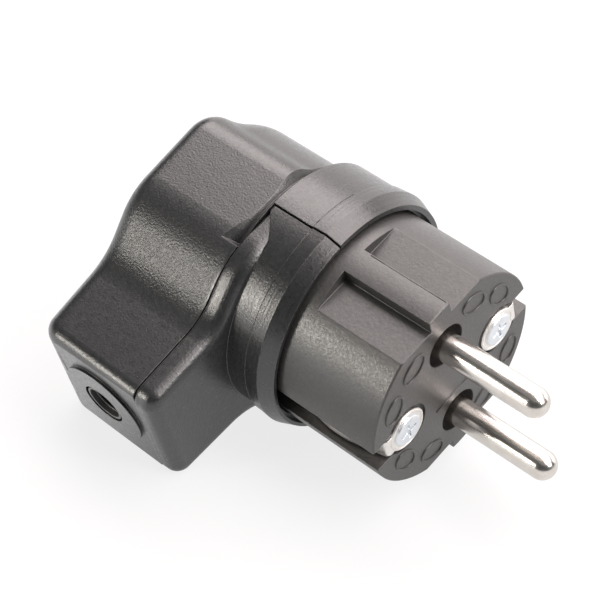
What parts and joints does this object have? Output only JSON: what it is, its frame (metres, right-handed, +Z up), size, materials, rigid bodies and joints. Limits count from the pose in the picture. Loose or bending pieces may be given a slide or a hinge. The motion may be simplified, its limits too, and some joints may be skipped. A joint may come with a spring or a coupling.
{
  "type": "angled power plug",
  "caption": "Angled rubber power plug with round contact pins, side earth strips in a ribbed round insert, a split collar and a cable entry at a right angle.",
  "frame": {"origin": "on the ground, under the middle of the plug's box, as it lies at rest", "axes": "+X along the pins, out of the contact face; +Z up; the cable entry points to -Y and slightly down"},
  "size_m": [0.0744, 0.0576, 0.0422],
  "materials": {
    "body_rubber": "satin",
    "sleeve_rubber": "matte",
    "carrier_plastic": "satin",
    "clamp_plastic": "matte",
    "pin_plating": "bright nickel",
    "earth_plating": "bright nickel",
    "screw_steel": "zinc",
    "terminal_brass": "plain"
  },
  "bodies": {
    "root": {"rear_cover": "body_rubber", "front_cover": "body_rubber", "contact_carrier": "carrier_plastic", "upper_pin": "pin_plating", "lower_pin": "pin_plating", "near_earth_spring": "earth_plating", "far_earth_spring": "earth_plating", "face_screws": "screw_steel", "cable_sleeve": "sleeve_rubber", "upper_terminal": "terminal_brass", "lower_terminal": "terminal_brass", "terminal_screws": "screw_steel", "earth_bridge": "terminal_brass", "earth_washer": "screw_steel", "earth_screw": "screw_steel", "anchor_nuts": "screw_steel", "clamp_base": "clamp_plastic", "clamp_saddle": "clamp_plastic", "clamp_screws": "screw_steel"}
  },
  "joints": []
}
